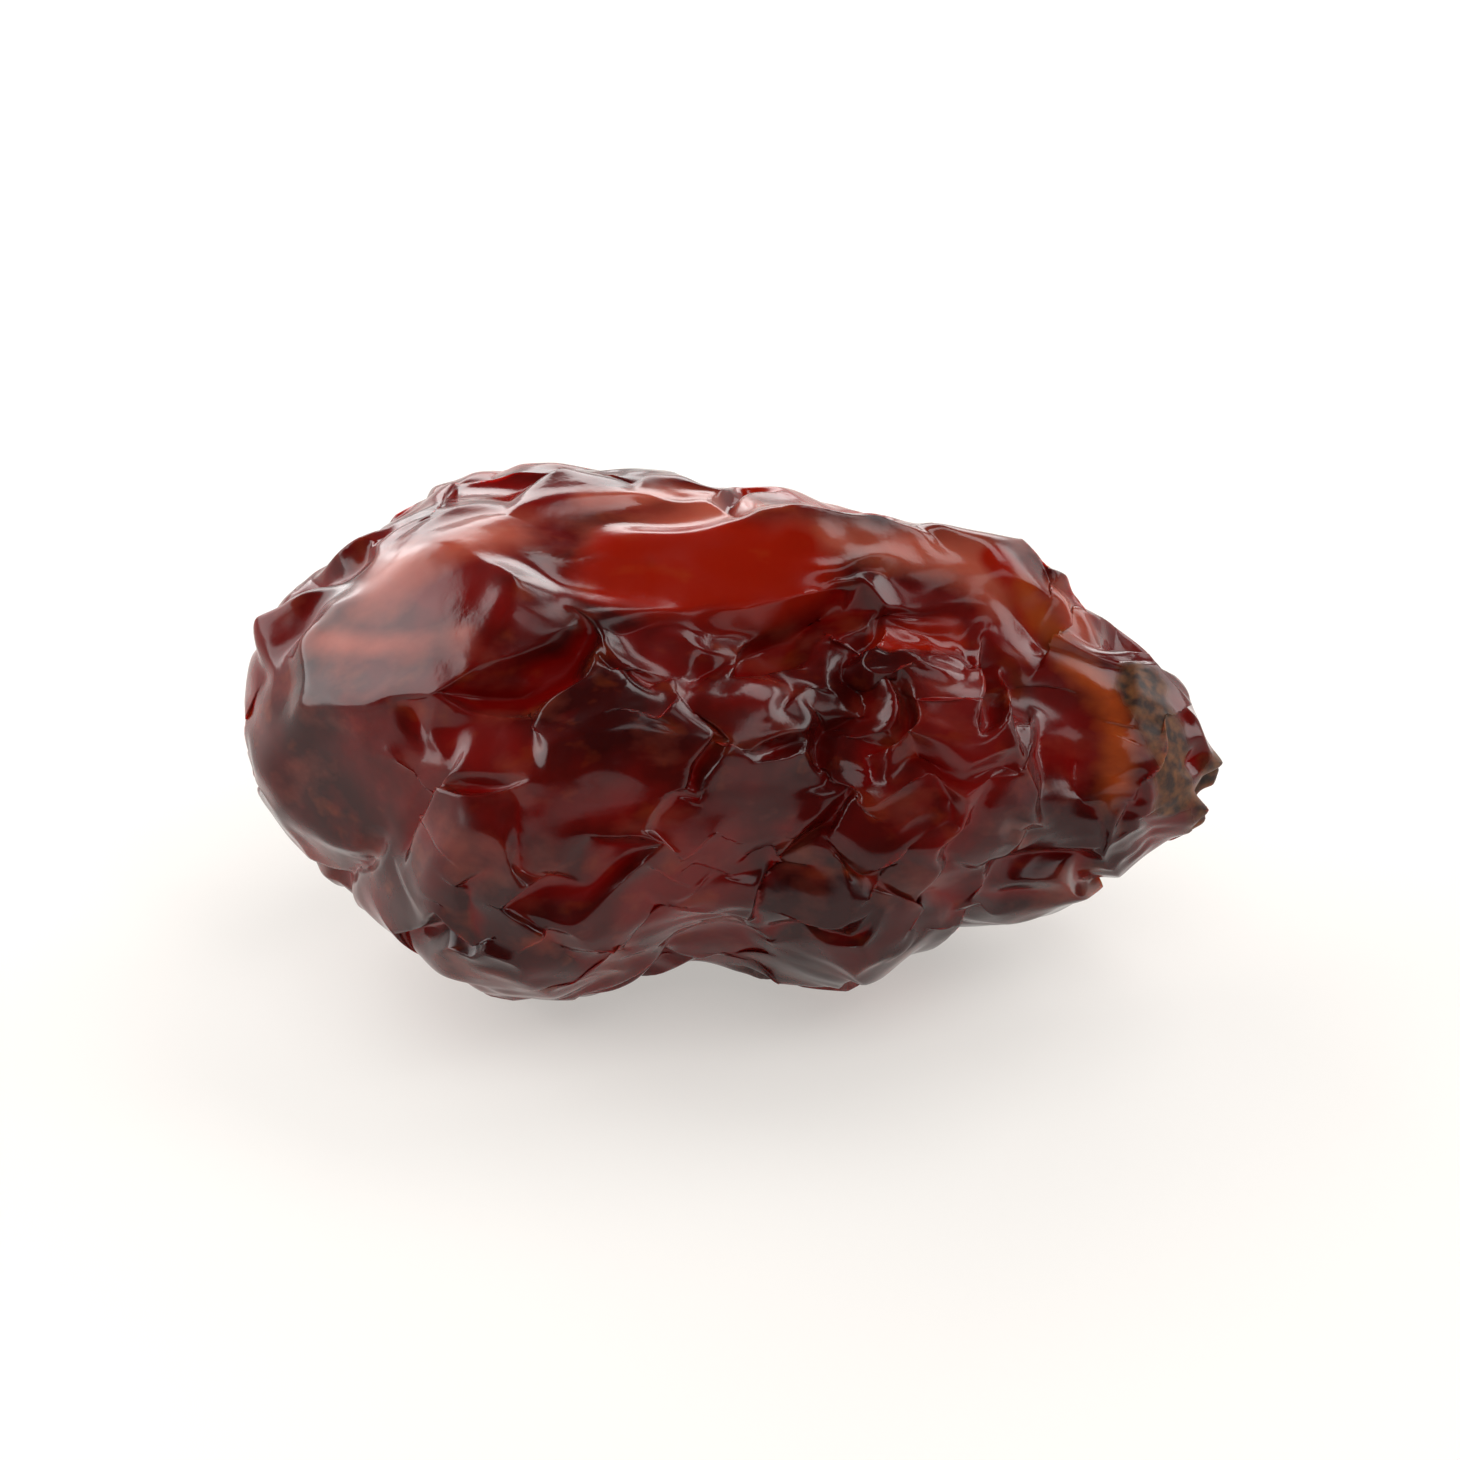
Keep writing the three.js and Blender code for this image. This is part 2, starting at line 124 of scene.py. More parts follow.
# Folds of the skin: kind, depth and width in mm, places along it. A groove is a sharp valley, a pocket a
# steep-sided hollow that narrows to its ends, and a ridge stands up.
FRONT_FOLDS = [
    ("pocket", 0.42, 0.3, [(-4.0, 0.45), (-3.3, 0.62), (-2.7, 0.82), (-2.1, 1.35)]),
    ("pocket", 0.22, 0.2, [(-4.95, 0.0), (-4.6, 0.12), (-4.3, 0.3)]),
    ("groove", 0.1, 0.14, [(-6.5, -0.3), (-5.9, -0.15), (-5.0, -0.05)]),
    ("groove", 0.2, 0.13, [(-3.95, 0.1), (-4.3, -0.75), (-4.85, -1.75)]),
    ("ridge", 0.09, 0.12, [(-4.05, -0.6), (-4.4, -1.2), (-4.7, -1.8)]),
    ("pocket", 0.22, 0.13, [(-5.0, -1.35), (-5.5, -1.95), (-6.05, -2.6)]),
    ("ridge", 0.08, 0.12, [(-5.2, -2.1), (-5.55, -2.4), (-5.8, -2.7)]),
    ("pocket", 0.24, 0.14, [(-4.1, -0.74), (-3.6, -0.76), (-3.05, -0.64)]),
    ("groove", 0.2, 0.12, [(-3.1, -1.0), (-3.12, -1.6), (-2.9, -2.1), (-2.6, -2.35)]),
    ("pocket", 0.26, 0.32, [(-3.1, -2.8), (-2.6, -2.5), (-2.0, -2.15), (-1.4, -1.7)]),
    ("pocket", 0.16, 0.11, [(-3.42, -2.05), (-3.38, -2.4), (-3.4, -2.9)]),
    ("pocket", 0.28, 0.2, [(-5.0, -3.2), (-4.4, -3.12), (-3.85, -3.28)]),
    ("groove", 0.08, 0.08, [(-3.85, -2.2), (-3.82, -2.8), (-3.9, -3.3)]),
    ("groove", 0.07, 0.08, [(-3.62, -2.5), (-3.6, -3.0), (-3.7, -3.4)]),
    ("groove", 0.2, 0.14, [(-1.95, 1.5), (-0.8, 1.5), (0.3, 1.56)]),
    ("ridge", 0.14, 0.2, [(-6.4, 0.5), (-5.2, 0.62), (-4.1, 0.66), (-3.2, 1.05)]),
    ("groove", 0.14, 0.16, [(-6.3, 0.1), (-5.2, 0.22), (-4.6, 0.26)]),
    ("pocket", 0.16, 0.13, [(-1.95, 1.35), (-1.85, 0.98), (-1.5, 0.8), (-1.05, 0.6)]),
    ("groove", 0.22, 0.12, [(-0.1, 1.2), (-0.45, 0.85), (-0.5, 0.5), (-0.55, 0.05)]),
    ("pocket", 0.14, 0.12, [(-1.15, 0.15), (-1.0, 0.08), (-0.85, 0.0)]),
    ("pocket", 0.32, 0.17, [(-0.18, 0.08), (-0.28, -0.4), (-0.42, -0.95)]),
    ("groove", 0.14, 0.11, [(-0.95, -1.2), (-0.45, -0.92), (0.0, -0.76), (0.4, -0.86)]),
    ("pocket", 0.22, 0.12, [(0.35, -0.56), (0.7, -0.42), (1.15, -0.22)]),
    ("ridge", 0.1, 0.1, [(0.3, -0.8), (0.6, -0.68), (0.85, -0.66)]),
    ("groove", 0.13, 0.1, [(0.86, 0.75), (0.86, 0.1)]),
    ("pocket", 0.45, 0.24, [(0.15, 0.85), (0.75, 1.2), (1.2, 1.62), (2.0, 1.9)]),
    ("groove", 0.3, 0.14, [(1.0, 2.0), (1.6, 2.14), (2.4, 2.25), (3.2, 2.12), (3.8, 2.15)]),
    ("ridge", 0.16, 0.12, [(1.95, 1.96), (2.8, 1.95), (3.6, 1.84)]),
    ("groove", 0.12, 0.08, [(2.1, 1.82), (3.0, 1.74), (3.6, 1.74)]),
    ("ridge", 0.1, 0.11, [(2.35, 1.62), (3.0, 1.6), (3.55, 1.5)]),
    ("ridge", 0.08, 0.2, [(0.8, 2.3), (2.0, 2.4), (3.2, 2.35), (4.2, 2.0)]),
    ("groove", 0.26, 0.14, [(2.02, 1.5), (1.92, 0.85), (1.74, 0.25)]),
    ("pocket", 0.2, 0.24, [(1.5, 0.1), (1.45, -0.35), (1.5, -0.8)]),
    ("pocket", 0.28, 0.14, [(1.75, -0.9), (1.5, -1.25), (0.9, -1.85)]),
    ("ridge", 0.12, 0.12, [(1.25, -1.1), (1.15, -1.4), (0.85, -1.75)]),
    ("pocket", 0.16, 0.11, [(0.85, -1.35), (0.72, -1.7)]),
    ("pocket", 0.18, 0.09, [(-0.8, -1.65), (-0.82, -2.2)]),
    ("groove", 0.1, 0.14, [(-1.95, -0.85), (-1.6, -1.2), (-1.3, -1.45)]),
    ("pocket", 0.1, 0.12, [(-0.35, -2.25), (-0.1, -2.2)]),
    ("pocket", 0.12, 0.12, [(0.15, -2.15), (0.35, -2.25)]),
    ("groove", 0.14, 0.12, [(0.65, -2.05), (0.6, -2.6), (0.55, -3.05), (1.2, -3.12), (1.9, -2.95),
                            (2.1, -2.4)]),
    ("groove", 0.16, 0.12, [(1.7, -2.0), (2.1, -2.2), (2.5, -2.05)]),
    ("pocket", 0.34, 0.2, [(2.62, 0.8), (2.6, 0.3), (2.15, -0.25)]),
    ("groove", 0.2, 0.12, [(2.05, -0.3), (2.05, -0.8), (1.9, -1.1)]),
    ("ridge", 0.12, 0.13, [(2.2, -0.45), (2.7, -0.2), (3.4, -0.15), (4.3, -0.25)]),
    ("groove", 0.22, 0.13, [(2.3, -0.8), (2.6, -0.55), (3.0, -0.45), (3.6, -0.62), (4.4, -0.45)]),
    ("ridge", 0.1, 0.08, [(2.2, -0.94), (2.5, -0.9), (2.8, -0.92)]),
    ("pocket", 0.2, 0.12, [(2.95, -0.75), (3.15, -0.95), (3.1, -1.2)]),
    ("ridge", 0.14, 0.12, [(3.7, -0.95), (3.3, -1.4), (2.95, -1.95)]),
    ("groove", 0.18, 0.12, [(3.95, -0.85), (3.65, -1.3), (3.35, -1.9), (3.4, -2.3)]),
    ("pocket", 0.2, 0.14, [(3.5, 0.95), (3.62, 1.25), (3.8, 1.5)]),
    ("ridge", 0.14, 0.1, [(3.68, 1.0), (3.9, 1.35), (4.2, 1.05)]),
    ("pocket", 0.4, 0.22, [(3.92, 1.15), (3.9, 0.7), (3.8, 0.1)]),
    ("groove", 0.2, 0.12, [(4.15, 1.1), (4.3, 0.6), (4.45, 0.15), (4.5, -0.35)]),
    ("pocket", 0.22, 0.13, [(4.05, 1.45), (4.35, 1.3)]),
    ("groove", 0.2, 0.13, [(3.8, 2.25), (4.3, 1.9), (4.7, 1.35), (4.75, 0.9)]),
    ("ridge", 0.12, 0.16, [(4.5, 2.35), (4.95, 1.85), (5.1, 1.3)]),
    ("pocket", 0.14, 0.1, [(4.6, -1.05), (4.8, -1.35)]),
    ("groove", 0.14, 0.1, [(4.15, -1.2), (4.35, -1.6), (4.2, -2.0)]),
    ("groove", 0.26, 0.13, [(3.9, -2.1), (4.6, -2.08), (5.2, -2.05), (6.1, -2.12)]),
    ("ridge", 0.12, 0.14, [(4.0, -2.32), (5.0, -2.3), (5.9, -2.3)]),
    ("groove", 0.18, 0.11, [(3.9, -2.65), (4.6, -2.6), (5.4, -2.5)]),
    ("pocket", 0.24, 0.11, [(5.5, -0.85), (5.6, -1.3), (5.6, -1.8)]),
    ("ridge", 0.14, 0.1, [(5.35, 0.35), (5.5, -0.2), (5.65, -0.8)]),
    ("groove", 0.2, 0.12, [(5.15, 0.9), (5.2, 0.2), (5.3, -0.6), (5.25, -1.5)]),
    ("ridge", 0.16, 0.14, [(5.3, 1.05), (5.75, 0.6), (5.85, -0.2), (5.85, -1.0)]),
    ("groove", 0.16, 0.09, [(5.95, 0.9), (6.0, 0.2), (6.02, -0.7), (6.0, -1.5)]),
    ("ridge", 0.12, 0.09, [(6.12, 0.6), (6.16, -0.1), (6.12, -0.9)]),
    ("pocket", 0.3, 0.26, [(6.35, 0.7), (6.6, 0.1), (6.75, -0.6)]),
    ("ridge", 0.55, 0.24, [(-7.2, 1.2), (-6.9, 1.6), (-6.3, 1.95)]),
    ("groove", 0.25, 0.2, [(-6.4, 2.25), (-5.9, 2.5), (-5.4, 2.9)]),
    ("groove", 0.12, 0.12, [(-7.0, 1.15), (-6.5, 1.5), (-6.0, 1.75)]),
    ("groove", 0.07, 0.16, [(-6.1, 1.9), (-6.05, 1.4), (-6.2, 0.9)]),
    ("groove", 0.08, 0.14, [(-3.75, 2.7), (-3.65, 2.2), (-3.8, 1.7)]),
    ("groove", 0.1, 0.12, [(-3.1, 2.3), (-3.0, 1.9), (-3.2, 1.4)]),
    ("ridge", 0.1, 0.13, [(-2.25, 2.9), (-2.15, 2.4), (-2.3, 1.8)]),
    ("groove", 0.12, 0.16, [(-2.7, 2.5), (-2.65, 2.0), (-2.5, 1.6)]),
    ("ridge", 0.1, 0.16, [(-4.4, 2.9), (-3.5, 3.3), (-1.5, 3.6), (0.6, 3.35)]),
    ("groove", 0.1, 0.12, [(-6.6, -0.9), (-6.8, -1.4), (-6.5, -2.0)]),
    ("groove", 0.12, 0.12, [(-2.9, 0.6), (-2.85, 0.0), (-2.95, -0.5)]),
    ("groove", 0.12, 0.12, [(2.4, -2.5), (3.0, -2.4), (3.4, -2.9)]),
    ("groove", 0.1, 0.12, [(-1.55, -3.1), (-1.4, -3.4), (-1.5, -3.7)]),
]
BACK_FOLDS = [  # the two big hollows on the back, as places seen from behind
    ("pocket", 0.4, 0.3, [(-4.6, 0.2), (-3.2, 0.9), (-1.4, 0.7), (0.2, 1.3)]),
    ("pocket", 0.36, 0.26, [(0.6, 0.9), (1.6, -0.2), (3.2, -0.4), (4.4, 0.3)]),
]
# Places where the skin is unlike the rest: kind, side, radius in mm, line that they follow. Calm skin lies
# smooth, flat skin is one facet and fine skin is full of small wrinkles. Clear skin is thin, with the glow of
# light through it painted on as a brighter red; amber skin has no flesh under it, with that glow painted on
# as orange;
# pale places are painted sheen; deep places are painted shade; and husk is dry and dull, its dark brown
# partly painted shade on the end face.
PLACES = [
    ("calm", "front", 1.5, [(-1.4, 2.6), (0.3, 2.7)]),
    ("calm", "front", 0.9, [(1.2, 2.9), (2.4, 2.75), (3.6, 2.45)]),
    ("calm", "front", 1.5, [(-5.2, 1.6), (-4.4, 1.8)]),
    ("calm", "front", 1.0, [(-3.3, 2.4), (-2.9, 2.4)]),
    ("calm", "front", 1.0, [(-6.7, 1.2), (-6.5, 0.2), (-6.0, -1.0)]),
    ("calm", "front", 0.8, [(-6.6, -1.4), (-5.7, -2.5)]),
    ("calm", "front", 0.8, [(-5.6, 2.3), (-5.2, 2.5)]),
    ("calm", "back", 1.0, [(6.6, 0.1), (6.6, -0.1)]),
    ("flat", "front", 0.95, [(-5.8, 1.25), (-5.0, 1.45), (-4.2, 1.65)]),
    ("flat", "front", 0.8, [(-1.3, 2.45), (-0.4, 2.45), (0.5, 2.5)]),
    ("flat", "front", 0.55, [(1.7, 2.75), (2.6, 2.7), (3.4, 2.5)]),
    ("flat", "front", 0.7, [(-6.3, -0.4), (-5.9, -1.2)]),
    ("fine", "front", 0.5, [(-5.3, 2.9), (-4.5, 3.5), (-3.6, 3.9), (-2.7, 4.05), (-1.9, 4.0)]),
    ("fine", "front", 0.5, [(5.9, 1.2), (6.2, 0.2), (6.2, -0.8), (6.1, -1.8)]),
    ("fine", "back", 0.7, [(-6.1, 1.0), (-5.9, 1.0)]),
    ("fine", "back", 0.7, [(1.6, 3.3), (2.4, 3.3)]),
    ("fine", "back", 0.7, [(5.2, 1.4), (5.6, 1.6)]),
    # Thin skin, with the glow of light through it painted on as a brighter red.
    ("clear", "front", 0.68, [(-1.6, 2.25), (-0.2, 2.2), (0.9, 2.35)]),
    ("clear", "front", 0.6, [(-1.6, 2.75), (-0.2, 2.8), (0.8, 2.75)]),
    ("clear", "front", 0.3, [(2.4, 1.3), (3.3, 1.4)]),
    ("clear", "front", 0.25, [(4.1, 2.6), (4.7, 1.7)]),
    ("clear", "back", 0.9, [(0.8, 1.5), (1.8, 1.7)]),
    ("clear", "back", 0.7, [(-3.8, 0.9), (-2.9, 0.7)]),
    ("clear", "under", 0.8, [(1.6, 0.6), (2.6, 0.7)]),
    # Skin with no flesh under it, with the glow of light through it painted on as orange.
    ("amber", "front", 0.26, [(5.3, 0.95), (5.75, 0.6), (5.9, 0.0), (5.85, -0.8)]),
    ("amber", "front", 0.2, [(4.5, 2.2), (5.0, 1.4)]),
    ("amber", "back", 0.3, [(-5.7, 0.7), (-5.5, 0.0), (-5.6, -0.8)]),
    ("amber", "under", 0.3, [(5.6, 0.8), (5.9, 0.1), (5.7, -0.6)]),
    # Painted sheen: a lighter red where the lamps shine on the gloss.
    ("pale", "front", 0.4, [(1.2, 2.95), (2.4, 2.85), (3.6, 2.55), (4.1, 2.2)]),
    ("pale", "front", 0.25, [(-2.2, 3.55), (-0.6, 3.6), (0.9, 3.4)]),
    ("pale", "front", 0.45, [(-5.3, 2.2), (-4.3, 2.8), (-3.5, 3.0)]),
    ("pale", "front", 0.2, [(-6.3, 1.3), (-5.2, 1.3), (-4.1, 1.5)]),
    ("pale", "front", 0.3, [(5.1, 2.1), (5.5, 1.5)]),
    ("pale", "back", 0.5, [(-1.6, 3.2), (-0.2, 2.9)]),
    ("pale", "back", 0.5, [(3.8, 1.8), (5.0, 1.4)]),
    # Painted shade: skin made darker where little light falls on it.
    ("deep", "front", 0.8, [(-6.5, -0.3), (-6.1, -1.1)]),
    ("deep", "front", 0.6, [(4.6, -1.5), (5.6, -1.4)]),
    ("deep", "front", 0.6, [(1.1, -0.8), (1.7, 0.6), (2.2, 1.0)]),
    # Husk: dry, dull scar colour over the end face, its dark brown partly painted shade of that face.
    ("husk", "front", 0.42, [(6.2, 0.5), (6.45, -0.1), (6.6, -0.9)]),
]

# -------- light and floor
# Lamps: name, azimuth round from the camera's side towards +X, elevation, width and height in degrees,
# radiance, and whether the gloss shows them.
LAMPS = [
    ("softbox_left", -112, 28, 76, 32, 4.4, True),
    ("softbox_back", -174, 18, 60, 18, 3.8, True),
    ("softbox_right", 114, 30, 50, 20, 4.4, True),
    ("softbox_high", 142, 54, 34, 16, 4.0, True),
    ("softbox_front", 60, 50, 32, 18, 2.0, True),
    ("fill", 20, 62, 50, 40, 1.9, False),
]
LAMPS_AWAY = 12  # distance of the lamps, in lengths of the berry
FLOOR_REACH = 200  # half the width of the floor, in lengths of the berry
SKY_TILT = (10, 12)  # azimuth and degrees by which the dark top of the sky leans: it hangs low in front
SKY_RIM = (0.22, 0.35)  # sine of the height where the bright rim of the sky ends, and where it is dark
SKY_DARK = 0.04  # brightness of the sky overhead


def linear(colour):
    """A hex colour as linear red, green, blue and alpha."""
    values = [int(colour[i:i + 2], 16) / 255 for i in (1, 3, 5)]
    return (*((v / 12.92 if v <= 0.04045 else ((v + 0.055) / 1.055) ** 2.4) for v in values), 1.0)


# -------- settings a user would change
def colour_setting(name, description, colour):
    """A colour that a user can change, from its hex value."""
    return bpy.props.FloatVectorProperty(
        name=name, description=description, subtype="COLOR", size=4, min=0.0, max=1.0, default=linear(colour))


class CranberrySkin(bpy.types.PropertyGroup):
    """Sizes and colours of the skin."""

    lumps: bpy.props.FloatProperty(
        name="Lumps", description="Height in mm of the low lumps that the folds start from",
        default=0.03, min=0.0, max=0.3)
    folds: bpy.props.FloatProperty(
        name="Folds", description="Depth of the placed folds, as a share of what the table gives",
        default=0.8, min=0.0, max=1.2, subtype="FACTOR")
    loose: bpy.props.FloatProperty(
        name="Loose skin", description="How much too large the skin is for the shrunken flesh under it",
        default=0.24, min=0.0, max=0.3, subtype="FACTOR")
    facets: bpy.props.FloatProperty(
        name="Facets", description="How flat the skin lies between its folds",
        default=0.3, min=0.0, max=1.0, subtype="FACTOR")
    crinkle: bpy.props.FloatProperty(
        name="Crinkle", description="How much too large the skin is at the scale of its finest wrinkles",
        default=0.08, min=0.0, max=0.3, subtype="FACTOR")
    scar_radius: bpy.props.FloatProperty(
        name="Scar radius", description="Radius in mm of the broken rim where the stem was",
        default=0.65, min=0.3, max=1.2)
    flesh: colour_setting("Flesh", "Most of the skin, over dark flesh", "#650d0a")
    dark: colour_setting("Dark clouds", "Clouds in the flesh where it is thicker", "#4a0906")
    # Painted shade for the deep places; the random dark blotches use this colour too.
    deep: colour_setting("Deep", "The darkest places", "#300706")
    # Painted glow: a brighter, purer red down in the folds, as if light shone through the skin there.
    painted_glow_in_folds: colour_setting("Hollows", "Skin down in the folds", "#740604")
    # Thin skin, with the glow of light through it painted on as a brighter red.
    clear: colour_setting("Clear", "Thin skin that light comes through", "#841303")
    # Painted sheen: a lighter red where the lamps shine on the gloss.
    pale: colour_setting("Pale", "Dry skin that stands off the flesh", "#9c4836")
    # Skin with no flesh under it, with the glow of light through it painted on as orange.
    amber: colour_setting("Amber", "Skin with no flesh under it, by the stem", "#8e3a14")
    torn: colour_setting("Torn", "The pit where the stem was", "#2a150c")
    fibre: colour_setting("Fibres", "Dry fibres in that pit", "#70421f")


class CranberryStage(bpy.types.PropertyGroup):
    """The floor, the light and the camera."""

    board: colour_setting("Board", "The floor", "#f8f4ef")
    glow: bpy.props.FloatProperty(
        name="Board glow", description="Share of the floor that shows its own colour however it is lit",
        default=0.5, min=0.0, max=1.0, subtype="FACTOR")
    rim: colour_setting("Sky rim", "The bright rim of the sky", "#fffdfb")
    level: bpy.props.FloatProperty(
        name="Lamps", description="Strength of all lamps", default=1.0, min=0.0, max=2.0, subtype="FACTOR")
    lens: bpy.props.FloatProperty(
        name="Lens", description="Focal length of the camera, in mm", default=120.0, min=50.0, max=300.0)
    tilt: bpy.props.FloatProperty(
        name="Looking down", description="How steeply the camera looks down",
        default=math.radians(30), min=0.0, max=math.radians(80), subtype="ANGLE", unit="ROTATION")
    share: bpy.props.FloatProperty(
        name="Berry in the frame", description="Length of the berry as a share of the frame's width",
        default=0.66, min=0.3, max=0.9, subtype="FACTOR")


def geodesic(steps):
    """Unit directions and triangles of an icosahedron with each edge cut into steps."""
    g = (1 + 5**0.5) / 2
    corners = [(-1, g, 0), (1, g, 0), (-1, -g, 0), (1, -g, 0), (0, -1, g), (0, 1, g)]
    corners = np.array(corners + [(0, -1, -g), (0, 1, -g), (g, 0, -1), (g, 0, 1), (-g, 0, -1), (-g, 0, 1)])
    fans = [(0, 11, 5), (0, 5, 1), (0, 1, 7), (0, 7, 10), (0, 10, 11), (1, 5, 9), (5, 11, 4), (11, 10, 2),
            (10, 7, 6), (7, 1, 8), (3, 9, 4), (3, 4, 2), (3, 2, 6), (3, 6, 8), (3, 8, 9), (4, 9, 5),
            (2, 4, 11), (6, 2, 10), (8, 6, 7), (9, 8, 1)]
    points, triangles = [], []
    for a, b, c in corners[np.array(fans)]:
        start = {}
        for i in range(steps + 1):
            start[i] = len(points)
            points += [a + (b - a) * i / steps + (c - a) * j / steps for j in range(steps + 1 - i)]
        for i in range(steps):
            for j in range(steps - i):
                here, below = start[i] + j, start[i + 1] + j
                triangles.append((here, below, here + 1))
                if i + j < steps - 1:
                    triangles.append((below, below + 1, here + 1))
    points = np.array(points)
    points /= np.linalg.norm(points, axis=1)[:, None]
    _, first, shared = np.unique(np.round(points * 1e5), axis=0, return_index=True, return_inverse=True)
    return points[first], shared.reshape(-1)[np.array(triangles)]


def split(triangles, *fields):
    """Cuts each triangle in four; each field of point values gets the middles of the edges."""
    sides = np.concatenate([triangles[:, [0, 1]], triangles[:, [1, 2]], triangles[:, [2, 0]]])
    count = len(fields[0])
    sides.sort(axis=1)
    ends, place = np.unique(sides[:, 0] * count + sides[:, 1], return_inverse=True)
    first, second = ends // count, ends % count
    ab, bc, ca = place.reshape(3, -1) + count
    a, b, c = triangles.T
    quarters = ((a, ab, ca), (ab, b, bc), (ca, bc, c), (ab, bc, ca))
    finer = np.concatenate([np.stack(q, axis=1) for q in quarters])
    return (finer, *(np.concatenate([f, (f[first] + f[second]) / 2]) for f in fields))


class Net:
    """Which points of a triangle net are joined."""

    def __init__(self, triangles, count):
        self.triangles = triangles
        self.count = count
        links = np.concatenate([triangles[:, [0, 1]], triangles[:, [1, 2]], triangles[:, [2, 0]]])
        links = links[np.argsort(links[:, 0], kind="stable")]
        valence = np.bincount(links[:, 0], minlength=count)
        start = np.concatenate([[0], np.cumsum(valence)[:-1]])
        table = np.tile(np.arange(count)[:, None], (1, 6))
        table[links[:, 0], np.arange(len(links)) - start[links[:, 0]]] = links[:, 1]
        share = (table != np.arange(count)[:, None]) / valence[:, None]
        self.neighbours = [np.ascontiguousarray(column) for column in table.T]
        self.shares = [np.ascontiguousarray(column)[:, None] for column in share.T.astype(np.float32)]

    def mean(self, values):
        """The mean of each point's neighbours."""
        return sum(share * values.take(near, axis=0) for near, share in zip(self.neighbours, self.shares))

    def smooth(self, values, rounds, strength=0.5):
        """Moves each point's values towards the mean of its neighbours, some rounds long."""
        for _ in range(rounds):
            values = values + strength * (self.mean(values) - values)
        return values

    def gather(self, corner_values):
        """Adds values of triangles, one row a triangle, to their three corners."""
        columns = corner_values.T
        corners = self.triangles.ravel()
        return np.stack([np.bincount(corners, np.repeat(c, 3), self.count) for c in columns], axis=1)

    def face_normals(self, points):
        """The normal of each triangle, twice as long as its area."""
        a, b, c = (points[self.triangles[:, k]] for k in range(3))
        return np.cross(b - a, c - a)

    def normals(self, points):
        """The unit normal at each point."""
        return unit(self.gather(self.face_normals(points)))

    def face_neighbours(self):
        """The three triangles beside each triangle."""
        t = self.triangles
        sides = np.concatenate([t[:, [0, 1]], t[:, [1, 2]], t[:, [2, 0]]])
        sides.sort(axis=1)
        order = np.argsort(sides[:, 0] * self.count + sides[:, 1], kind="stable")
        face, corner = order % len(t), order // len(t)
        face, corner = face.reshape(-1, 2), corner.reshape(-1, 2)
        beside = np.zeros((len(t), 3), dtype=int)
        beside[face[:, 0], corner[:, 0]] = face[:, 1]
        beside[face[:, 1], corner[:, 1]] = face[:, 0]
        return beside


def unit(vectors):
    """The vectors, each with length one."""
    return vectors / (np.linalg.norm(vectors, axis=1)[:, None] + 1e-12)


def waves(points, size, seed, number=24):
    """Smooth noise from about -1 to 1 with lumps of the given size, a sum of a number of waves."""
    rng = np.random.default_rng(seed)
    ways = unit(rng.normal(size=(number, 3))) * (math.tau / size) * rng.uniform(0.7, 1.3, number)[:, None]
    return np.sin(points @ ways.T + rng.uniform(0, math.tau, number)).sum(axis=1) / math.sqrt(number / 2)


def buckle(net, points, excess, rounds, stiffness, core, seed, yielding=0.0):
    """Crumples a skin that is too large for what it covers.

    Each link wants to be longer by excess. Bending resists with stiffness, the core pulls each point back
    where it was, and above yielding (in links) bending gives way, which leaves sharp creases. A random jolt
    (in links) starts the buckling.
    """
    pull, momentum, sideways, jolt = 0.45, 0.9, 0.3, 0.1
    skin = points.astype(np.float32)
    home = skin.copy()
    outward = net.normals(points).astype(np.float32)
    excess = excess.astype(np.float32)
    wanted, bend_home, link = [], np.zeros_like(skin), 0.0
    for near, share in zip(net.neighbours, net.shares):
        step = skin.take(near, axis=0) - skin
        length = np.sqrt(np.einsum("ij,ij->i", step, step))
        link += length.mean() / len(net.neighbours)
        wanted.append((length * (1 + 0.5 * (excess.take(near) + excess)))[:, None])
        bend_home += share * step
    start = np.random.default_rng(seed).normal(size=len(skin)).astype(np.float32)
    skin = skin + outward * (jolt * link * start)[:, None]
    last = skin
    for _ in range(rounds):
        force = np.zeros_like(skin)
        bend = -bend_home
        for near, share, rest in zip(net.neighbours, net.shares, wanted):
            step = skin.take(near, axis=0)
            step -= skin
            length = np.sqrt(np.einsum("ij,ij->i", step, step))[:, None] + 1e-9
            step *= share
            bend += step
            step *= 1 - rest / length
            force += step
        force *= pull
        if yielding:
            bend /= 1 + np.einsum("ij,ij->i", bend, bend)[:, None] / (yielding * link) ** 2
        force += stiffness * (bend - net.mean(bend))
        away = skin - home
        height = np.einsum("ij,ij->i", away, outward)[:, None]
        force -= core * ((1 - sideways) * height * outward + sideways * away)
        skin, last = skin + force + momentum * (skin - last), skin
    return skin.astype(np.float64)


def flatten(net, points, rounds, sharpness):
    """Flattens the skin between creases: triangles that nearly agree turn to one direction."""
    turns, pulls = 6, 8
    beside = net.face_neighbours()
    valence = np.bincount(net.triangles.ravel(), minlength=net.count)[:, None]
    for _ in range(rounds):
        facing = net.face_normals(points)
        area = np.linalg.norm(facing, axis=1)[:, None]
        facing = unit(facing)
        for _ in range(turns):
            around = facing[beside]
            apart = ((around - facing[:, None]) ** 2).sum(axis=2)
            weight = np.exp(-apart / (2 * sharpness**2)) * area[beside][..., 0]
            facing = unit(0.5 * facing * area + (around * weight[..., None]).sum(axis=1))
        for _ in range(pulls):
            points = points + plane_pull(net, points, facing) / valence
    return points


def plane_pull(net, points, facing):
    """Moves that bring each triangle's corners into the plane it wants."""
    middle = points[net.triangles].mean(axis=1)
    total = np.zeros_like(points)
    for k in range(3):
        corner = net.triangles[:, k]
        gap = np.einsum("ij,ij->i", middle - points[corner], facing)[:, None]
        moves = facing * gap
        for axis in range(3):
            total[:, axis] += np.bincount(corner, moves[:, axis], minlength=net.count)
    return total


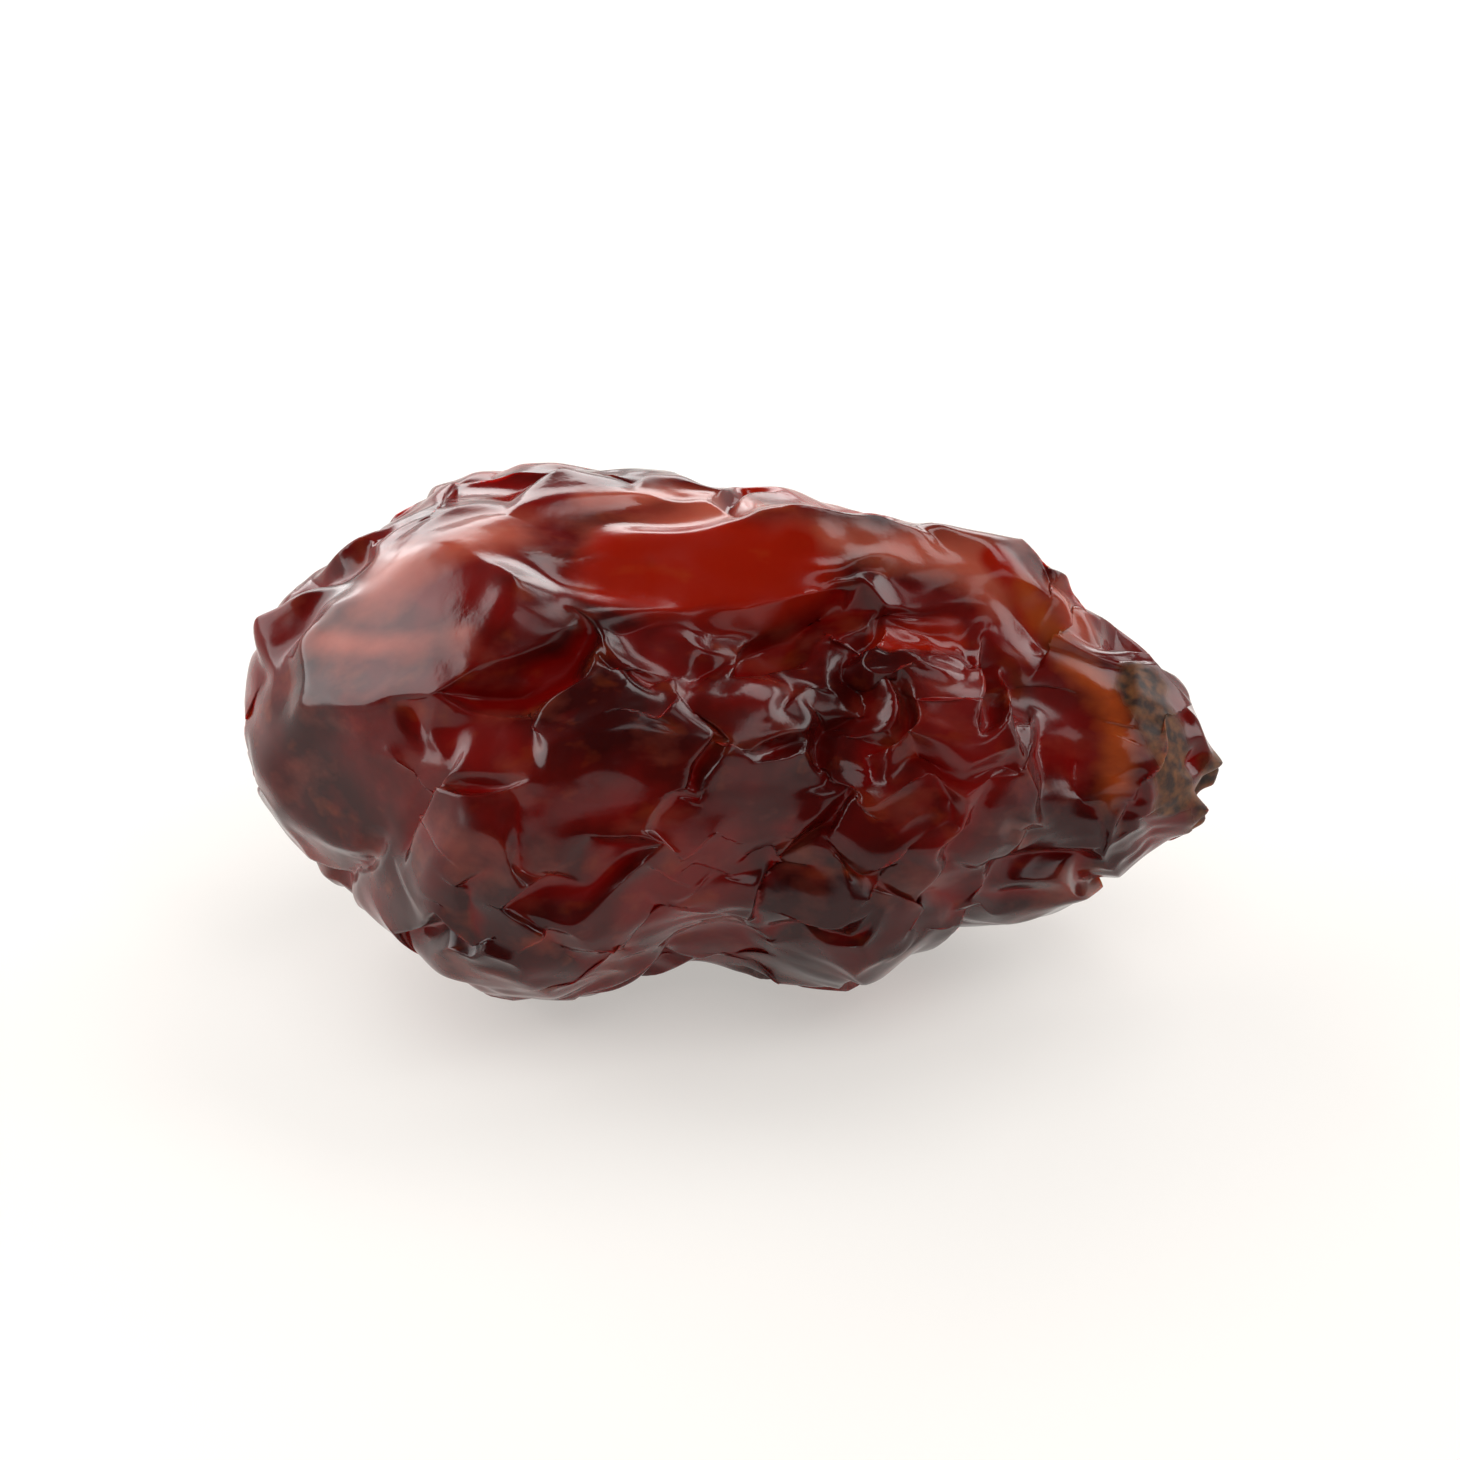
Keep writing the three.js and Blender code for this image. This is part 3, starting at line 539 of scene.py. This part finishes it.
def press_facets(net, points, flats, spacing, strength, seed):
    """Presses the skin into facets: one for each flat place and others at random between them."""
    seeds = np.concatenate([line for _, _, line in flats])
    reach = np.concatenate([np.full(len(line), 2 * radius) for _, radius, line in flats])
    owner = np.concatenate([np.full(len(line), number) for number, (_, _, line) in enumerate(flats)])
    for index in np.random.default_rng(seed).permutation(len(points)):
        if np.all(np.linalg.norm(seeds - points[index], axis=1) > reach):
            seeds = np.vstack([seeds, points[index]])
            reach = np.append(reach, spacing)
            owner = np.append(owner, owner[-1] + 1)
    parts = np.array_split(points, 20)  # one after another, to keep the table of distances small
    nearest = [np.linalg.norm(part[:, None] - seeds[None], axis=2).argmin(axis=1) for part in parts]
    cell = owner[np.concatenate(nearest)]
    count = np.bincount(cell)[:, None]
    middle = np.stack([np.bincount(cell, axis) for axis in points.T], axis=1) / count
    facing = unit(np.stack([np.bincount(cell, axis) for axis in net.normals(points).T], axis=1))
    gap = ((middle[cell] - points) * facing[cell]).sum(axis=1)
    share = np.where(cell < len(flats), FLAT_SHARE, strength)
    return points + (share * gap)[:, None] * facing[cell]


class Solid:
    """The berry's solid, in millimetres."""

    def __init__(self):
        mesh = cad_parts[NODE].data
        mesh.calc_loop_triangles()
        self.points = np.array([v.co for v in mesh.vertices]) / MM
        self.triangles = np.array([t.vertices for t in mesh.loop_triangles])
        self.low, self.high = self.points.min(axis=0), self.points.max(axis=0)
        self.tree = BVHTree.FromPolygons(self.points.tolist(), self.triangles.tolist())
        tip = self.points[self.points[:, 0] > self.high[0] - STEM_TIP]
        self.stem = np.array([self.high[0] - STEM_DEPTH, *tip[:, 1:].mean(axis=0)])

    def nearest(self, point):
        """The surface's nearest point."""
        return np.array(self.tree.find_nearest(Vector(point))[0])

    def place(self, side, x, up):
        """The point of the surface seen from a side, at x along the berry and up across the view."""
        azimuth, elevation = (math.radians(v) for v in SIDES[side])
        ahead = np.array([0, math.cos(azimuth), 0])
        rise = math.sin(elevation) * ahead + math.cos(elevation) * np.array([0, 0, 1])
        near = math.sin(elevation) * np.array([0, 0, 1]) - math.cos(elevation) * ahead
        across = self.points @ rise
        start = np.array([x, 0, 0]) + rise * (up + (across.min() + across.max()) / 2) + near * FAR
        hit = self.tree.ray_cast(Vector(start), Vector(-near))[0]
        return np.array(hit) if hit is not None else self.nearest(start - near * FAR)

    def lay_over(self, net, directions):
        """Lays a round net evenly over the solid, with a smooth cap where the stem scar is."""
        rounds, cap_rounds = 6, 60
        half, middle = (self.high - self.low) / 2, (self.high + self.low) / 2
        points = np.empty_like(directions)
        for i, way in enumerate(directions):
            start = middle + [way[0] * (half[0] - half[1]), 0, 0]
            out = middle + way * half - start
            hit = self.tree.ray_cast(Vector(start), Vector(out))[0]
            points[i] = hit if hit is not None else middle + way * half
        scar = np.linalg.norm(points - self.stem, axis=1) < SCAR_CAP
        for _ in range(rounds):
            points = net.smooth(points, 1)
            points[~scar] = [self.nearest(p) for p in points[~scar]]
            for _ in range(cap_rounds):
                points[scar] = net.mean(points)[scar]
        return net.smooth(points, 2)


def curve_through(places, gap=0.08):
    """Evenly spaced points of a smooth line through places."""
    p = np.array([2 * places[0] - places[1], *places, 2 * places[-1] - places[-2]])
    out = []
    for a, b, c, d in zip(p, p[1:], p[2:], p[3:]):
        count = max(2, int(np.linalg.norm(c - b) / gap))
        square, cube = 2 * a - 5 * b + 4 * c - d, 3 * b - a - 3 * c + d
        for t in np.arange(count) / count:
            out.append(0.5 * (2 * b + (c - a) * t + square * t**2 + cube * t**3))
    return np.array(out + [p[-2]])


def fold_moves(points, folds):
    """How far the folds move each point along its normal. Each fold is a kind, depth, width and line.

    A pocket has a low swollen rim round it, and a groove or ridge a low bank of the other sign.
    """
    move = np.zeros(len(points))
    for kind, depth, width, line in folds:
        reach = 4 * width
        close = np.all((points > line.min(axis=0) - reach) & (points < line.max(axis=0) + reach), axis=1)
        close = np.flatnonzero(close)
        gaps = np.linalg.norm(points[close][:, None] - line[None], axis=2)
        share = gaps.argmin(axis=1) / (len(line) - 1)
        gap = gaps.min(axis=1)
        if kind == "pocket":
            half = width * np.sqrt(np.sin(math.pi * (0.06 + 0.88 * share)))
            rim = 0.18 * np.exp(-(((gap - 1.7 * half) / (0.5 * width)) ** 2))
            move[close] -= depth * (np.exp(-((gap / half) ** 4)) - rim)
        else:
            taper = np.clip(4 * np.minimum(share, 1 - share) + 0.2, 0, 1)
            sharp = np.exp(0.25 - np.hypot(gap, 0.25 * width) / width)
            bank = 0.25 * np.exp(-(((gap - 2.2 * width) / width) ** 2))
            move[close] += (1 if kind == "ridge" else -1) * depth * taper * (sharp - bank)
    return move


def placed_folds(solid, side, rows):
    """Folds placed one by one, as lines on the surface."""
    return [(kind, depth, width, curve_through([solid.place(side, *at) for at in places]))
            for kind, depth, width, places in rows]


def scattered_folds(solid, net, points, apart=1.05, step=0.38, seed=5):
    """Folds that wander over the skin beside and behind the front, and run out from the stem near it."""
    rng = np.random.default_rng(seed)
    normals = unit(net.smooth(net.normals(points), 4))
    tilt = math.radians(SIDES["front"][1])
    seen = normals @ np.array([0, -math.cos(tilt), math.sin(tilt)])
    order = rng.permutation(np.flatnonzero(seen < 0.25))  # skin that the front's folds don't reach
    folds, starts = [], []
    for index in order:
        start = points[index]
        if any(np.linalg.norm(start - other) < apart for other in starts):
            continue
        starts.append(start)
        along = np.array([1.0, 0, 0]) * (1.2 if start[0] > 3.5 else 0.5) + 0.8 * rng.normal(size=3)
        steps = rng.integers(3, 7)
        line = [start]
        for _ in range(steps):
            at = line[-1]
            normal = normals[((points - at) ** 2).sum(axis=1).argmin()]
            along = unit((along - normal * (along @ normal) + 0.45 * rng.normal(size=3))[None])[0]
            line.append(solid.nearest(at + step * along))
        kind = rng.choice(["pocket", "groove", "groove", "ridge"])
        depth = rng.uniform(0.12, 0.36) * (0.5 if kind == "ridge" else 1)
        width = rng.uniform(0.11, 0.26) if kind == "pocket" else rng.uniform(0.1, 0.16)
        folds.append((kind, depth, width, curve_through(line)))
    return folds


def place_lines(solid, kinds, gap):
    """The lines that places of some kinds follow: kind, radius, points of the line."""
    return [(kind, radius, curve_through([solid.place(side, *at) for at in places], gap))
            for kind, side, radius, places in PLACES if kind in kinds]


def on_skin(net, points, rows):
    """Rows with the line at their end moved out to the skin."""
    normals = net.normals(points)
    moved = []
    for *row, line in rows:
        near = [((points - place) ** 2).sum(axis=1).argmin() for place in line]
        out = ((points[near] - line) * normals[near]).sum(axis=1)
        moved.append((*row, line + out[:, None] * normals[near]))
    return moved


def cover(points, lines, wanted, steep=4):
    """From 0 to 1: how much each point lies in the places of one kind, with edges as steep as wanted."""
    share = np.zeros(len(points))
    for kind, radius, line in lines:
        if kind == wanted:
            gap = np.linalg.norm(points[:, None] - line[None], axis=2).min(axis=1)
            share = np.maximum(share, np.exp(-((COVER_FALL * gap / radius) ** steep)))
    return share


def nose_moves(solid, points, radius):
    """Moves that swell the stem end to a blunt nose round the stem."""
    away = points - solid.stem
    along = away @ STEM_AXIS
    gap = np.linalg.norm(away - along[:, None] * STEM_AXIS, axis=1)
    wanted = NOSE_FRONT - NOSE_SLOPE * np.maximum(0, gap - radius)
    short = np.where(along > -NOSE_LENGTH, wanted - along, -1.0)
    fade = np.clip(NOSE_FADE - np.linalg.norm(away, axis=1), 0, 1)
    push = 0.5 * (short + np.sqrt(short**2 + 0.04)) * fade  # only outwards, with a soft start
    return push[:, None] * STEM_AXIS


def scar_moves(solid, points, radius):
    """Moves that break the nose open: a ragged rim round a pit."""
    away = points - solid.stem
    along = away @ STEM_AXIS
    flat = away - along[:, None] * STEM_AXIS
    gap = np.linalg.norm(flat, axis=1) * (1 + 0.12 * waves(flat, 1.6, 24))
    near = np.clip(2.4 - np.linalg.norm(away, axis=1), 0, 1)
    ragged = np.clip(0.3 + 0.7 * waves(unit(flat), 1.3, 21), -0.5, 1.0)
    rim = RIM_HEIGHT * np.exp(-(((gap - radius) / RIM_WIDTH) ** 2)) * ragged
    pit = -PIT_DEPTH * np.exp(-((gap / (0.8 * radius)) ** 4)) * (1 + 0.2 * waves(points, 0.5, 23))
    return ((rim + pit) * near)[:, None] * STEM_AXIS


def wander(points):
    """Moves points a little, so that a fold drawn by them doesn't run too straight."""
    return points + 0.07 * np.stack([waves(points, 1.1, seed) for seed in (31, 32, 33)], axis=1)


def finer(net, points):
    """The next finer net, with its points smoothed once."""
    triangles, points = split(net.triangles, points)
    net = Net(triangles, len(points))
    return net, net.smooth(points, 1)


def folded_skin(settings, net, points, folds, lines):
    """The skin with its folds, crumpled and pressed into facets."""
    calm = cover(points, lines, "calm")
    lumps = settings.lumps * waves(points, size=1.5, seed=77) * (1 - calm)
    height = lumps + settings.folds * fold_moves(wander(points), folds)
    points = points + net.normals(points) * height[:, None]
    back = np.clip(points[:, 1] / 3, 0, 1)
    loose = settings.loose * (1 + 0.35 * waves(points, size=3, seed=8)) * (1 - 0.3 * back) * (1 - 0.85 * calm)
    loose = np.clip(loose, 0.0, MOST_LOOSE)
    points = buckle(net, points, loose, rounds=250, stiffness=0.04, core=0.0035, seed=2, yielding=0.36)
    points = flatten(net, points, rounds=6, sharpness=0.42)
    flats = [row for row in lines if row[0] == "flat"]
    points = press_facets(net, points, flats, FACET_SPACING, settings.facets, seed=9)
    return flatten(net, points, rounds=3, sharpness=0.42)


def crinkled_skin(settings, solid, net, points, folds, lines):
    """The folded skin with its finest wrinkles and the broken scar, resting on the floor."""
    points = points + 0.2 * net.normals(points) * fold_moves(wander(points), folds)[:, None]
    calm = cover(points, lines, "calm")
    loose = settings.crinkle * (1 + 0.5 * waves(points, size=3, seed=6)) * (1 - 0.95 * calm)
    loose += 0.1 * cover(points, lines, "fine")
    loose = np.clip(loose, 0.0, MOST_LOOSE)
    points = buckle(net, points, loose, rounds=120, stiffness=0.04, core=0.002, seed=3)
    points = flatten(net, points, rounds=3, sharpness=0.3)
    points = net.smooth(points + scar_moves(solid, points, settings.scar_radius), rounds=1, strength=0.3)
    points[:, 2] = np.maximum(points[:, 2], 0.0)
    return points


def skin_traits(settings, solid, net, points, lines):
    """What the material reads at each point, from 0 to 1."""
    height = ((points - net.smooth(points, rounds=40)) * net.normals(points)).sum(axis=1)
    away = points - solid.stem
    along = away @ STEM_AXIS
    gap = np.linalg.norm(away - along[:, None] * STEM_AXIS, axis=1)
    scar = np.clip((settings.scar_radius + SCAR_EDGE - gap) / SCAR_EDGE, 0, 1) * (along > -SCAR_BACK)
    return {
        # ridge leads the painted glow in the folds; deep, pale, clear and amber mark painted shade, sheen and
        # glow
        "ridge": np.clip(0.5 + height / RELIEF, 0, 1),
        **{kind: cover(points, lines, kind, steep) for kind, (steep, *_) in TINTS.items()},
        # through the husk places the scar's dark colour also paints the shade on the end face
        "scar": np.maximum(scar, cover(points, lines, "husk")),
    }


def wrinkle_skin(settings):
    """The points and triangles of the finished skin, and what its material reads at each point."""
    solid = Solid()
    directions, triangles = geodesic(NET_STEPS)
    net = Net(triangles, len(directions))
    points = solid.lay_over(net, directions)
    folds = placed_folds(solid, "front", FRONT_FOLDS) + placed_folds(solid, "back", BACK_FOLDS)
    folds += scattered_folds(solid, net, points)

    net, points = finer(net, points)
    points = net.smooth(points + nose_moves(solid, points, settings.scar_radius), rounds=2)
    folds = on_skin(net, points, folds)
    lines = on_skin(net, points, place_lines(solid, ("calm", "flat", "fine"), SHAPE_GAP))
    tint_lines = on_skin(net, points, place_lines(solid, (*TINTS, "husk"), TINT_GAP))
    points = folded_skin(settings, net, points, folds, lines)

    net, points = finer(net, points)
    points = crinkled_skin(settings, solid, net, points, folds, lines)
    return points, net.triangles, skin_traits(settings, solid, net, points, tint_lines)


def mesh_object(name, points, triangles, traits):
    """A smooth-shaded object from points and triangles in mm, with each trait as a layer of point values."""
    mesh = bpy.data.meshes.new(name)
    mesh.vertices.add(len(points))
    mesh.vertices.foreach_set("co", (points * MM).astype(np.float32).ravel())
    mesh.loops.add(triangles.size)
    mesh.loops.foreach_set("vertex_index", triangles.astype(np.int32).ravel())
    mesh.polygons.add(len(triangles))
    mesh.polygons.foreach_set("loop_start", np.arange(0, triangles.size, 3, dtype=np.int32))
    mesh.update(calc_edges=True)
    mesh.polygons.foreach_set("use_smooth", np.ones(len(triangles), dtype=bool))
    for trait, values in traits.items():
        layer = mesh.attributes.new(trait, "FLOAT", "POINT")
        layer.data.foreach_set("value", values.astype(np.float32))
    piece = bpy.data.objects.new(name, mesh)
    bpy.context.scene.collection.objects.link(piece)
    return piece


# -------- materials
def add(tree, kind, settings=(), inputs=()):
    """Adds a node, sets its properties, and sets or links its inputs."""
    node = tree.nodes.new(kind)
    for name, value in dict(settings).items():
        setattr(node, name, value)
    for name, value in dict(inputs).items():
        if isinstance(value, bpy.types.NodeSocket):
            tree.links.new(value, node.inputs[name])
        else:
            node.inputs[name].default_value = value
    return node


def new_material(name):
    """A material, its node tree and its shader."""
    material = bpy.data.materials.new(name)
    material.use_nodes = True
    tree = material.node_tree
    return material, tree, tree.nodes["Principled BSDF"]


def skin_clouds(tree):
    """The noise of each of the CLOUDS, by name."""
    where = add(tree, "ShaderNodeTexCoord").outputs["Object"]
    cloud = {}
    for name, size, detail, drawn_out in CLOUDS:
        inputs = {"Vector": where, "Scale": (1 / drawn_out, 1, 1)}
        drawn = add(tree, "ShaderNodeMapping", {}, inputs).outputs["Vector"]
        inputs = {"Vector": drawn, "Scale": 1 / (size * MM), "Detail": detail}
        cloud[name] = add(tree, "ShaderNodeTexNoise", {}, inputs).outputs["Fac"]
    return cloud


def skin_colour(tree, colours, trait, cloud):
    """The colour of the flesh, with other colours in layers over it: random clouds, then painted glow, shade
    and sheen.
    """
    layers = [  # share, its value where the colour starts and where it is full, colour
        (cloud["flesh"], 0.4, 0.6, colours.dark),
        (cloud["blotches"], 0.48, 0.63, colours.deep),
        # painted glow of light through the skin, strongest at the bottom of the folds
        (trait["ridge"], 0.48, 0.1, colours.painted_glow_in_folds),
    ]
    # the placed tints: painted shade, painted sheen, and the painted glow of thin skin
    for kind, (_, breaks, soft) in TINTS.items():
        inputs = {0: cloud[breaks], 1: EDGE_CLOUDS, 2: trait[kind]}
        edge = add(tree, "ShaderNodeMath", {"operation": "MULTIPLY_ADD"}, inputs).outputs["Value"]
        layers.append((edge, EDGE_MIDDLE - soft, EDGE_MIDDLE + soft, getattr(colours, kind)))
    body = colours.flesh
    for share, start, full, colour in layers:
        inputs = {"Value": share, "From Min": start, "From Max": full}
        share = add(tree, "ShaderNodeMapRange", {}, inputs).outputs["Result"]
        body = add(tree, "ShaderNodeMix", {"data_type": "RGBA"}, {0: share, 6: body, 7: colour}).outputs[2]
    return body


def dried_skin(colours):
    """Sugared cranberry skin, oven-dried.

    A thin clear film over dark flesh: to the eye a wet gloss on deep red, glowing where the film is thin, and
    a dull brown where the stem was torn off.
    """
    material, tree, shader = new_material("cranberry_skin_sugared_dried")
    trait = {name: add(tree, "ShaderNodeAttribute", {"attribute_name": name}).outputs["Fac"]
             for name in ("ridge", "scar", *TINTS)}
    cloud = skin_clouds(tree)
    skin = skin_colour(tree, colours, trait, cloud)

    inputs = {"Value": cloud["fibres"], "From Min": 0.38, "From Max": 0.7}
    fibres = add(tree, "ShaderNodeMapRange", {}, inputs).outputs["Result"]
    inputs = {0: fibres, 6: colours.torn, 7: colours.fibre}
    torn = add(tree, "ShaderNodeMix", {"data_type": "RGBA"}, inputs).outputs[2]
    inputs = {0: cloud["streaks"], 1: SCAR_CLOUDS, 2: trait["scar"]}
    edge = add(tree, "ShaderNodeMath", {"operation": "MULTIPLY_ADD"}, inputs).outputs["Value"]
    inputs = {"Value": edge, "From Min": SCAR_RANGE[0], "From Max": SCAR_RANGE[1]}
    scar = add(tree, "ShaderNodeMapRange", {}, inputs).outputs["Result"]
    body = add(tree, "ShaderNodeMix", {"data_type": "RGBA"}, {0: scar, 6: skin, 7: torn}).outputs[2]
    tree.links.new(body, shader.inputs["Base Color"])

    # The sugar film is smooth where it is wet and rougher where it has dried; the scar is dull.
    inputs = {"Value": cloud["gloss"], "From Min": 0.35, "From Max": 0.7, "To Min": 0.1, "To Max": 0.26}
    film = add(tree, "ShaderNodeMapRange", {}, inputs).outputs["Result"]
    dull = add(tree, "ShaderNodeMath", {"operation": "MULTIPLY"}, {0: scar, 1: 0.5}).outputs["Value"]
    rough = add(tree, "ShaderNodeMath", {"operation": "MAXIMUM"}, {0: film, 1: dull}).outputs["Value"]
    tree.links.new(rough, shader.inputs["Roughness"])
    shader.inputs["IOR"].default_value = 1.37
    shader.inputs["Subsurface Weight"].default_value = 0.3
    shader.inputs["Subsurface Radius"].default_value = (1.0, 0.12, 0.06)
    shader.inputs["Subsurface Scale"].default_value = 0.5 * MM
    inputs = {"Strength": 0.25, "Distance": 0.02 * MM, "Height": cloud["grain"]}
    bump = add(tree, "ShaderNodeBump", {}, inputs).outputs["Normal"]
    tree.links.new(bump, shader.inputs["Normal"])
    return material


def white_board(colour, glow):
    """Laminate board, pressed matt: a plain white that shows no gloss and only a soft shadow."""
    material, tree, shader = new_material("laminate_board_matt")
    shader.inputs["Base Color"].default_value = colour
    shader.inputs["Roughness"].default_value = 0.6
    rays = add(tree, "ShaderNodeLightPath").outputs
    seen = rays["Is Camera Ray"]
    for kind in ("Is Glossy Ray", "Is Transmission Ray"):
        inputs = {0: seen, 1: rays[kind]}
        seen = add(tree, "ShaderNodeMath", {"operation": "MAXIMUM"}, inputs).outputs["Value"]
    share = add(tree, "ShaderNodeMath", {"operation": "MULTIPLY"}, {0: seen, 1: glow}).outputs["Value"]
    own = add(tree, "ShaderNodeEmission", {}, {"Color": colour, "Strength": 1.0}).outputs["Emission"]
    mix = add(tree, "ShaderNodeMixShader", {}, {0: share, 1: shader.outputs["BSDF"], 2: own})
    tree.links.new(mix.outputs["Shader"], tree.nodes["Material Output"].inputs["Surface"])
    return material


# -------- floor, light and camera
def direction(azimuth, elevation):
    """The way to a place in the sky: azimuth round from the camera's side towards +X, both in degrees."""
    turn, rise = math.radians(azimuth), math.radians(elevation)
    return np.array([math.sin(turn) * math.cos(rise), -math.cos(turn) * math.cos(rise), math.sin(rise)])


def put(thing, name, place, aim):
    """Puts a lamp or camera at a place, looking at another."""
    piece = bpy.data.objects.new(name, thing)
    piece.location = place
    piece.rotation_euler = Vector(aim - place).to_track_quat("-Z", "Y").to_euler()
    bpy.context.scene.collection.objects.link(piece)
    return piece


def add_floor(half, settings):
    """A square floor, from -half to half."""
    mesh = bpy.data.meshes.new("floor")
    corners = [(-half, -half, 0), (half, -half, 0), (half, half, 0), (-half, half, 0)]
    mesh.from_pydata(corners, [], [(0, 1, 2, 3)])
    mesh.materials.append(white_board(settings.board, settings.glow))
    floor = bpy.data.objects.new("floor", mesh)
    bpy.context.scene.collection.objects.link(floor)


def add_sky(rim):
    """A sky with a bright rim and a dark top, as of a room with pale walls."""
    world = bpy.data.worlds.new("soft_studio")
    world.use_nodes = True
    bpy.context.scene.world = world
    tree = world.node_tree
    pole = direction(SKY_TILT[0], 90 - SKY_TILT[1])
    way = add(tree, "ShaderNodeTexCoord").outputs["Generated"]
    inputs = {0: way, 1: pole}
    height = add(tree, "ShaderNodeVectorMath", {"operation": "DOT_PRODUCT"}, inputs).outputs["Value"]
    inputs = {"Value": height, "From Min": SKY_RIM[0], "From Max": SKY_RIM[1]}
    share = add(tree, "ShaderNodeMapRange", {}, inputs).outputs["Result"]
    inputs = {0: share, 6: rim, 7: (SKY_DARK, SKY_DARK, SKY_DARK, 1.0)}
    sky = add(tree, "ShaderNodeMix", {"data_type": "RGBA"}, inputs).outputs[2]
    tree.links.new(sky, tree.nodes["Background"].inputs["Color"])


def add_lamps(middle, away, level):
    """The lamps round the berry, all at one distance from its middle and facing it."""
    for name, azimuth, elevation, wide, tall, radiance, shown in LAMPS:
        lamp = bpy.data.lights.new(name, "AREA")
        lamp.shape = "RECTANGLE"
        lamp.size = 2 * away * math.tan(math.radians(wide / 2))
        lamp.size_y = 2 * away * math.tan(math.radians(tall / 2))
        lamp.energy = level * radiance * math.pi * lamp.size * lamp.size_y
        piece = put(lamp, name, middle + away * direction(azimuth, elevation), middle)
        piece.visible_camera = False
        piece.visible_glossy = shown


# -------- operators
class CRANBERRY_OT_skin(bpy.types.Operator):
    """Wrinkle the skin over the berry's solid"""

    bl_idname = "cranberry.skin"
    bl_label = "Dried skin"

    def execute(self, context):
        settings = context.scene.cranberry_skin
        points, triangles, traits = wrinkle_skin(settings)
        piece = mesh_object("cranberry_skin", points, triangles, traits)
        piece.data.materials.append(dried_skin(settings))
        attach(piece, "root")
        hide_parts(NODE)
        return {"FINISHED"}


class CRANBERRY_OT_stage(bpy.types.Operator):
    """Set the floor, the light and the camera"""

    bl_idname = "cranberry.stage"
    bl_label = "Floor, light and camera"

    def execute(self, context):
        settings = context.scene.cranberry_stage
        low, high = (np.array(corner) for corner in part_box(NODE))
        size = high[0] - low[0]
        middle = (low + high) / 2
        add_floor(FLOOR_REACH * size, settings)
        add_sky(settings.rim)
        add_lamps(middle, LAMPS_AWAY * size, settings.level)

        camera = bpy.data.cameras.new("camera")
        camera.lens = settings.lens
        camera.clip_start = MM
        distance = size / settings.share * camera.lens / camera.sensor_width
        place = middle + distance * direction(0, math.degrees(settings.tilt))
        context.scene.camera = put(camera, "camera", place, middle)
        context.scene.view_settings.view_transform = "Standard"
        return {"FINISHED"}


class CRANBERRY_PT_panel(bpy.types.Panel):
    """Lists the cranberry's settings and operators"""

    bl_idname = "CRANBERRY_PT_panel"
    bl_label = "Dried cranberry"
    bl_space_type = "VIEW_3D"
    bl_region_type = "UI"
    bl_category = "Cranberry"

    def draw(self, context):
        scene = context.scene
        for settings, operator in ((scene.cranberry_skin, CRANBERRY_OT_skin),
                                   (scene.cranberry_stage, CRANBERRY_OT_stage)):
            box = self.layout.box()
            for name in type(settings).__annotations__:
                box.prop(settings, name)
            box.operator(operator.bl_idname)


CLASSES = (CranberrySkin, CranberryStage, CRANBERRY_OT_skin, CRANBERRY_OT_stage, CRANBERRY_PT_panel)


def register():
    for cls in CLASSES:
        bpy.utils.register_class(cls)
    bpy.types.Scene.cranberry_skin = bpy.props.PointerProperty(type=CranberrySkin)
    bpy.types.Scene.cranberry_stage = bpy.props.PointerProperty(type=CranberryStage)


def unregister():
    del bpy.types.Scene.cranberry_stage
    del bpy.types.Scene.cranberry_skin
    for cls in reversed(CLASSES):
        bpy.utils.unregister_class(cls)


def main():
    register()
    bpy.ops.cranberry.skin()
    bpy.ops.cranberry.stage()


if __name__ == "__main__":
    main()
